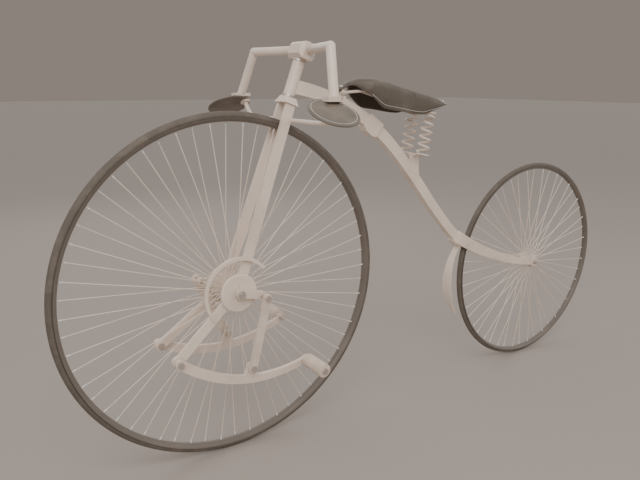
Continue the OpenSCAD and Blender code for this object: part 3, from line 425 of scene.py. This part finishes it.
rubber_tree.links.new(ramp(rubber_tree, dusting, 0.3, 0.7, 0.62, 0.85), rubber_out.inputs["Roughness"])
rubber_lumps = calc(rubber_tree, "ADD", calc(rubber_tree, "MULTIPLY", mould.outputs["Fac"], 0.6),
                    calc(rubber_tree, "MULTIPLY", pores, 0.5))
rubber_tree.links.new(rubber_lumps, rubber_out.inputs["Height"])
tyre_rubber = dressed("tyre_rubber", rubber_tree, {
    "Colour": (0.120, 0.100, 0.082, 1.0), "Dust": (0.210, 0.178, 0.146, 1.0)}, 0.0006)
wear(tyre_rubber, "front_tyre", "rear_tyre")

# Rims: rolled steel channels in dark enamel that cup the tyre.
rim_enamel = dressed("rim_enamel", enamel_tree, {
    "Colour": (0.150, 0.126, 0.106, 1.0), "Grime": (0.24, 0.20, 0.165, 1.0), "Primer": (0.30, 0.24, 0.20,
                                                            1.0),
    "Patch Scale": 10.0}, 0.0005, coat=0.1)
wear(rim_enamel, "front_rim", "rear_rim")

# Cement line: a thin bead of tyre cement that fills the corner between tyre and rim on both faces of each
# wheel.
bead_tree, bead_in, bead_out = geometry_tree("bead_ring", [
    ("Ring Radius", FLOAT), ("Bead Radius", FLOAT), ("Steps", "NodeSocketInt"), ("Material",
                                                            "NodeSocketMaterial")])
bead_line = bead_tree.nodes.new("GeometryNodeCurvePrimitiveCircle")
bead_round = bead_tree.nodes.new("GeometryNodeCurvePrimitiveCircle")
bead_round.inputs["Resolution"].default_value = 8
bead_sweep = bead_tree.nodes.new("GeometryNodeCurveToMesh")
bead_tree.links.new(bead_in.outputs["Ring Radius"], bead_line.inputs["Radius"])
bead_tree.links.new(bead_in.outputs["Steps"], bead_line.inputs["Resolution"])
bead_tree.links.new(bead_in.outputs["Bead Radius"], bead_round.inputs["Radius"])
bead_tree.links.new(bead_line.outputs["Curve"], bead_sweep.inputs["Curve"])
bead_tree.links.new(bead_round.outputs["Curve"], bead_sweep.inputs["Profile Curve"])
close_tree(bead_tree, bead_sweep.outputs["Mesh"], bead_in.outputs["Material"], bead_out)
cement = dressed("tyre_cement", rubber_tree, {
    "Colour": (0.075, 0.062, 0.050, 1.0), "Dust": (0.14, 0.115, 0.092, 1.0)}, 0.0004)
for wheel, body, ring_r, half_w in (("front", "front_wheel", 0.5165, 0.0135), ("rear", "rear_wheel",
                                                            0.4018, 0.0105)):
    lines_made = [grow(bead_tree, {"Ring Radius": ring_r, "Bead Radius": 0.0017, "Steps": 180,
                                   "Material": cement},
                       on_wheel(centre_of(wheel + "_tyre"), side * half_w, 0)) for side in (1, -1)]
    joined(wheel + "_cement_line", lines_made, body)

# Pedals: turned hardwood sleeves in cream enamel that spin on their spindles, with shallow grip grooves.
pedal_paint = dressed("pedal_paint", rubber_tree, {
    "Colour": (0.74, 0.62, 0.53, 1.0), "Dust": (0.60, 0.48, 0.39, 1.0), "Line Scale": 55.0}, 0.0016)
wear(pedal_paint, "pedal_left", "pedal_right")

# Leather: thick vegetable-tanned hide, nearly black-brown, creased and pebbled, and paler where it is
# rubbed.
hide_tree, hide_in, hide_out = group_tree(
    "worn_hide",
    [("Colour", COLOUR, (0.1, 0.1, 0.1, 1)), ("Rubbed", COLOUR, (0.3, 0.3, 0.3, 1)), ("Pebble Scale",
                                                            FLOAT, 420.0)],
    [("Colour", COLOUR), ("Roughness", FLOAT), ("Height", FLOAT)],
)
hide_at = hide_tree.nodes.new("ShaderNodeTexCoord").outputs["Object"]
pebble = hide_tree.nodes.new("ShaderNodeTexVoronoi")
pebble.feature = "SMOOTH_F1"
hide_tree.links.new(hide_at, pebble.inputs["Vector"])
hide_tree.links.new(hide_in.outputs["Pebble Scale"], pebble.inputs["Scale"])
creases = noise(hide_tree, hide_at, 34.0, 8.0, 0.7)
rubs = noise(hide_tree, hide_at, 9.0, 4.0)
hide_tone = blend_colour(hide_tree, ramp(hide_tree, rubs, 0.42, 0.70, 0.0, 0.8), hide_in.outputs["Colour"],
                         hide_in.outputs["Rubbed"])
dark_lines = blend_colour(hide_tree, ramp(hide_tree, creases, 0.30, 0.42, 0.55, 0.0), hide_tone, (0.02,
                                                            0.016, 0.012, 1.0))
hide_tree.links.new(dark_lines, hide_out.inputs["Colour"])
hide_tree.links.new(ramp(hide_tree, rubs, 0.35, 0.7, 0.58, 0.40), hide_out.inputs["Roughness"])
hide_lumps = calc(hide_tree, "ADD", calc(hide_tree, "MULTIPLY", pebble.outputs["Distance"], 0.5),
                  calc(hide_tree, "MULTIPLY", creases, 1.1))
hide_tree.links.new(hide_lumps, hide_out.inputs["Height"])
saddle_hide = dressed("saddle_hide", hide_tree, {
    "Colour": (0.105, 0.086, 0.067, 1.0), "Rubbed": (0.190, 0.158, 0.125, 1.0)}, 0.0011)

# Saddle: one hide moulded wet over a block. The nose rises to a hump, the seat slopes back and sags a
# little, and the sides hang as flaps. It is riveted to the frame at the nose and along the rear.
cover_low, cover_high = (Vector(corner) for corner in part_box("saddle_cover"))
SADDLE_LEN = cover_high.x - cover_low.x
TIP = Vector((cover_high.x, 0.0, cover_high.z - 0.040))
HIDE_T = 0.006
SHOULDER_DROP, SEAT_SAG = 26.0, 5.0
TOP_SHARE, SIDE_SHARE = 0.6, 0.4
CREST = [(0, -1), (18, 10), (50, 25), (85, 35.5), (115, 39), (150, 34), (210, 20), (300, -1), (390, -23),
         (432, -42)]
HALF_WIDTH = [(0, 9), (20, 16), (60, 24), (80, 42), (100, 64), (120, 69), (210, 69.5), (300, 69.5), (400,
                                                            69), (432, 58)]
FLAP_EDGE = [(0, -5), (20, 2), (60, 13), (84, -3), (115, -29), (150, -56), (205, -66), (314, -80), (360,
                                                            -69), (400, -59), (432, -52)]


def smooth_table(table, u):
    """Reads a table of (u, value) at u with an even curve through its points."""
    last = len(table) - 1
    k = max(0, min(last - 1, next((i for i in range(last) if u <= table[i + 1][0]), last - 1)))
    before, start, end, after = (table[max(0, min(last, k + i))] for i in (-1, 0, 1, 2))
    span = end[0] - start[0]
    t = (u - start[0]) / span
    rise = (end[1] - before[1]) / max(end[0] - before[0], 1) * span
    fall = (after[1] - start[1]) / max(after[0] - start[0], 1) * span
    return ((2 * t**3 - 3 * t**2 + 1) * start[1] + (t**3 - 2 * t**2 + t) * rise
            + (3 * t**2 - 2 * t**3) * end[1] + (t**3 - t**2) * fall)


def hide_point(u, v, lift=0.0):
    """A point of the hide: u runs back from the tip, v from the left flap's edge to the right one's."""
    crest, half, edge = (smooth_table(table, u) for table in (CREST, HALF_WIDTH, FLAP_EDGE))
    side, out = (1 if v >= 0 else -1), abs(v)
    shoulder = min(SHOULDER_DROP, 0.55 * (crest - edge))
    if out <= TOP_SHARE:
        turn = out / TOP_SHARE * math.pi / 2
        y, z = half * math.sin(turn) ** 0.8, crest - shoulder * (1 - math.cos(turn)) ** 1.15
    else:
        down = (out - TOP_SHARE) / SIDE_SHARE
        y = half * (1 - 0.05 * down**2) + 1.2 * math.sin(math.pi * down)
        z = crest - shoulder + down * (edge - crest + shoulder)
    seat = math.exp(-(((u - 285) / 85) ** 2)) * math.exp(-((y / 42) ** 2))
    z -= SEAT_SAG * seat
    rise = lift * (1 - min(out, TOP_SHARE) / TOP_SHARE)
    return TIP + Vector((-u / 1000, side * (y + lift) / 1000, (z + rise) / 1000))


ROWS, COLUMNS = 66, 49
points = [hide_point(1000 * SADDLE_LEN * i / (ROWS - 1),
                     1 - 2 * j / (COLUMNS - 1)) for i in range(ROWS) for j in range(COLUMNS)]
faces = [(i * COLUMNS + j, i * COLUMNS + j + 1, (i + 1) * COLUMNS + j + 1, (i + 1) * COLUMNS + j)
         for i in range(ROWS - 1) for j in range(COLUMNS - 1)]
hide_mesh = bpy.data.meshes.new("saddle_hide")
hide_mesh.from_pydata(points, [], faces)
hide_mesh.materials.append(saddle_hide)
for face in hide_mesh.polygons:
    face.use_smooth = True
if sum(face.normal.z * face.area for face in hide_mesh.polygons) < 0:
    hide_mesh.flip_normals()
saddle = bpy.data.objects.new("saddle_hide", hide_mesh)
bpy.context.scene.collection.objects.link(saddle)
thick = saddle.modifiers.new("thickness", "SOLIDIFY")
thick.thickness, thick.offset = HIDE_T, -1.0
rounded = saddle.modifiers.new("rounding", "BEVEL")
rounded.width, rounded.segments = 0.0018, 2
rounded.limit_method, rounded.angle_limit = "ANGLE", math.radians(60)
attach(saddle, "saddle")
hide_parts("saddle_cover")

# Saddle stitching: waxed linen thread sewn through the hide, one row set in from the edge of each flap
# and one across the rear.
thread = dressed("linen_thread", rubber_tree, {
    "Colour": (0.42, 0.34, 0.27, 1.0), "Dust": (0.56, 0.47, 0.38, 1.0), "Line Scale": 900.0}, 0.0003)
stitch_tree, stitch_in, stitch_out = geometry_tree("stitch_row", [
    ("Stitch Length", FLOAT), ("Thread Radius", FLOAT), ("Material",
                                                         "NodeSocketMaterial")], takes_mesh=True)
path_curve = stitch_tree.nodes.new("GeometryNodeMeshToCurve")
even = stitch_tree.nodes.new("GeometryNodeResampleCurve")
even.mode = "LENGTH"
along = stitch_tree.nodes.new("GeometryNodeInputTangent")
stitch_turn = stitch_tree.nodes.new("FunctionNodeAlignEulerToVector")
stitch_turn.axis = "Z"
stitch = stitch_tree.nodes.new("GeometryNodeMeshUVSphere")
stitch.inputs["Segments"].default_value, stitch.inputs["Rings"].default_value = 8, 5
lengthen = stitch_tree.nodes.new("ShaderNodeCombineXYZ")
sew = stitch_tree.nodes.new("GeometryNodeInstanceOnPoints")
half_stitch = stitch_tree.nodes.new("ShaderNodeMath")
half_stitch.operation = "MULTIPLY"
half_stitch.inputs[1].default_value = 0.34
stretched = stitch_tree.nodes.new("ShaderNodeMath")
stretched.operation = "DIVIDE"
stitch.inputs["Radius"].default_value = 0.001
slim = stitch_tree.nodes.new("ShaderNodeMath")
slim.operation = "DIVIDE"
stretched.inputs[1].default_value = slim.inputs[1].default_value = 0.001
for source, target in (
        (stitch_in.outputs["Path"], path_curve.inputs["Mesh"]), (path_curve.outputs["Curve"],
                                                            even.inputs["Curve"]),
        (stitch_in.outputs["Stitch Length"], even.inputs["Length"]), (even.outputs["Curve"],
                                                            sew.inputs["Points"]),
        (along.outputs["Tangent"], stitch_turn.inputs["Vector"]), (stitch_turn.outputs["Rotation"],
                                                            sew.inputs["Rotation"]),
        (stitch_in.outputs["Stitch Length"], half_stitch.inputs[0]), (half_stitch.outputs[0],
                                                            stretched.inputs[0]),
        (stitch_in.outputs["Thread Radius"], slim.inputs[0]), (slim.outputs[0], lengthen.inputs["X"]),
        (slim.outputs[0], lengthen.inputs["Y"]), (stretched.outputs[0], lengthen.inputs["Z"]),
        (lengthen.outputs["Vector"], sew.inputs["Scale"]), (stitch.outputs["Mesh"],
                                                            sew.inputs["Instance"])):
    stitch_tree.links.new(source, target)
close_tree(stitch_tree, sew.outputs["Instances"], stitch_in.outputs["Material"], stitch_out)
STITCH_LEN, THREAD_R = 0.0075, 0.0009


def sewn(line, closed=False):
    """A row of stitches along a line of points."""
    path = bpy.data.meshes.new("stitch_path")
    steps = [(i, i + 1) for i in range(len(line) - 1)] + ([(len(line) - 1, 0)] if closed else [])
    path.from_pydata(line, steps, [])
    return grow(stitch_tree, {"Stitch Length": STITCH_LEN, "Thread Radius": THREAD_R, "Material": thread},
                path=path)


flap_rows = [sewn([hide_point(u, side * 0.93, 0.3) for u in range(106, 424, 6)]) for side in (1, -1)]
rear_row = sewn([hide_point(423, v / 40, 0.3) for v in range(-36, 37)])
joined("saddle_stitches", flap_rows + [rear_row], "saddle")

# Saddle rivets: domed brass heads, two at the nose and a row across the rear of the hide.
rivet_tree, rivet_in, rivet_out = geometry_tree("rivets_at_points", [
    ("Head Radius", FLOAT), ("Material", "NodeSocketMaterial")], takes_mesh=True)
dome = rivet_tree.nodes.new("GeometryNodeMeshUVSphere")
dome.inputs["Segments"].default_value, dome.inputs["Rings"].default_value = 16, 10
set_rivets = rivet_tree.nodes.new("GeometryNodeInstanceOnPoints")
set_rivets.inputs["Scale"].default_value = (1.0, 1.0, 0.6)
rivet_tree.links.new(rivet_in.outputs["Head Radius"], dome.inputs["Radius"])
rivet_tree.links.new(rivet_in.outputs["Path"], set_rivets.inputs["Points"])
rivet_tree.links.new(dome.outputs["Mesh"], set_rivets.inputs["Instance"])
close_tree(rivet_tree, set_rivets.outputs["Instances"], rivet_in.outputs["Material"], rivet_out)
rivet_spots = bpy.data.meshes.new("rivet_spots")
rivet_spots.from_pydata([hide_point(u, v) for u, v in (
    (20, 0.22), (20, -0.22), (414, 0.40), (414, 0.24), (414, 0.08), (414, -0.08), (414, -0.24), (414,
                                                            -0.40))], [], [])
rivet_brass = dressed("rivet_brass", steel_tree, {
    "Colour": (0.58, 0.42, 0.26, 1.0), "Tarnish": (0.26, 0.17, 0.10,
                                                   1.0), "Line Scale": 400.0}, 0.0001, metal=0.8)
joined("saddle_rivets", [grow(rivet_tree, {"Head Radius": 0.0048, "Material": rivet_brass},
                              path=rivet_spots)],
       "saddle")

# Saddle springs: two coils of round wire between a seat on the bracket and a seat under the saddle. The
# wire is dipped in enamel.
wear(cream_enamel, "saddle_frame")
coil_tree, coil_in, coil_out = geometry_tree("wire_coil", [
    ("Turns", FLOAT), ("Coil Radius", FLOAT), ("Wire Radius", FLOAT), ("Height", FLOAT),
    ("Material", "NodeSocketMaterial")])
helix = coil_tree.nodes.new("GeometryNodeCurveSpiral")
helix.inputs["Resolution"].default_value = 40
wire = coil_tree.nodes.new("GeometryNodeCurvePrimitiveCircle")
wire.inputs["Resolution"].default_value = 14
wind = coil_tree.nodes.new("GeometryNodeCurveToMesh")
wind.inputs["Fill Caps"].default_value = True
for source, socket in (("Turns", helix.inputs["Rotations"]), ("Coil Radius", helix.inputs["Start Radius"]),
                       ("Coil Radius", helix.inputs["End Radius"]), ("Height", helix.inputs["Height"]),
                       ("Wire Radius", wire.inputs["Radius"])):
    coil_tree.links.new(coil_in.outputs[source], socket)
coil_tree.links.new(helix.outputs["Curve"], wind.inputs["Curve"])
coil_tree.links.new(wire.outputs["Curve"], wind.inputs["Profile Curve"])
close_tree(coil_tree, wind.outputs["Mesh"], coil_in.outputs["Material"], coil_out)
SPRING_LEAN = math.radians(10)
SPRING_FREE, WIRE_D, SPRING_D, SPRING_Y = 0.140, 0.008, 0.046, 0.042
SPRING_BASE = Vector((-0.0851893, 0.0, 0.908193))
coils = []
for side in (1, -1):
    stand = Matrix.Translation(SPRING_BASE + Vector((0, side * SPRING_Y,
                                                     0))) @ Matrix.Rotation(-SPRING_LEAN, 4, "Y")
    coils.append(grow(coil_tree, {"Turns": 5.0, "Coil Radius": (SPRING_D - WIRE_D) / 2,
                                  "Wire Radius": WIRE_D / 2 - 0.00005,
                                  "Height": SPRING_FREE - WIRE_D, "Material": cream_enamel},
                      stand @ Matrix.Translation((0, 0, WIRE_D / 2))))
springs = joined("spring_wire", coils, "frame")
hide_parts("saddle_springs")
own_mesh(springs)

# Hand pads: round plates of hardwood faced with hide, with a rolled edge and one row of stitches. Each is
# bolted under the foot of the bar and slopes down outwards.
pad_hide = dressed("pad_hide", hide_tree, {
    "Colour": (0.155, 0.130, 0.104, 1.0), "Rubbed": (0.235, 0.198, 0.160,
                                                     1.0), "Pebble Scale": 520.0}, 0.0009)
PAD_SLOPE = math.radians(27)
PAD_R, PAD_T, PAD_SEAM = 0.072, 0.008, 0.0625
PAD_SECTION = [(0.0, 0.0), (0.052, 0.0), (PAD_SEAM - 0.002, -0.0001), (PAD_SEAM, -0.0008),
               (PAD_SEAM + 0.002, -0.0001),
               (PAD_R - 0.004, -0.0004), (PAD_R - 0.0014, -0.0018), (PAD_R, -PAD_T / 2), (PAD_R - 0.0014,
                                                            -0.0062),
               (PAD_R - 0.004, -0.0076), (PAD_R - 0.012, -PAD_T), (0.0, -PAD_T)]
PAD_STEPS = 96
for side, hand in ((1, "left"), (-1, "right")):
    normal = Vector((0, side * math.sin(PAD_SLOPE), math.cos(PAD_SLOPE)))
    middle = centre_of("hand_pad_" + hand) + normal * PAD_T / 2
    lie = Matrix.Translation(middle) @ Matrix.Rotation(-side * PAD_SLOPE, 4, "X")
    verts = [lie @ Vector((0, 0, PAD_SECTION[0][1]))]
    for r, z in PAD_SECTION[1:-1]:
        verts += [lie @ Vector((r * math.cos(2 * math.pi * k / PAD_STEPS),
                                r * math.sin(2 * math.pi * k / PAD_STEPS), z))
                  for k in range(PAD_STEPS)]
    verts.append(lie @ Vector((0, 0, PAD_SECTION[-1][1])))
    bands = len(PAD_SECTION) - 2
    rings = [[1 + b * PAD_STEPS + k for k in range(PAD_STEPS)] for b in range(bands)]
    skin_faces = [(0, rings[0][k], rings[0][(k + 1) % PAD_STEPS]) for k in range(PAD_STEPS)]
    for b in range(bands - 1):
        skin_faces += [(rings[b][k], rings[b + 1][k], rings[b + 1][(k + 1) % PAD_STEPS],
                        rings[b][(k + 1) % PAD_STEPS])
                       for k in range(PAD_STEPS)]
    skin_faces += [(len(verts) - 1, rings[-1][(k + 1) % PAD_STEPS], rings[-1][k]) for k in range(PAD_STEPS)]
    pad_mesh = bpy.data.meshes.new("pad_" + hand)
    pad_mesh.from_pydata(verts, [], skin_faces)
    pad_mesh.materials.append(pad_hide)
    for face in pad_mesh.polygons:
        face.use_smooth = True
    pad = bpy.data.objects.new("hand_pad_hide_" + hand, pad_mesh)
    bpy.context.scene.collection.objects.link(pad)
    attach(pad, "front_fork")
    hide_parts("hand_pad_" + hand)
    loop = [lie @ Vector((PAD_SEAM * math.cos(2 * math.pi * k / 90),
                          PAD_SEAM * math.sin(2 * math.pi * k / 90), -0.0004))
            for k in range(90)]
    joined("pad_stitches_" + hand, [sewn(loop, closed=True)], "front_fork")
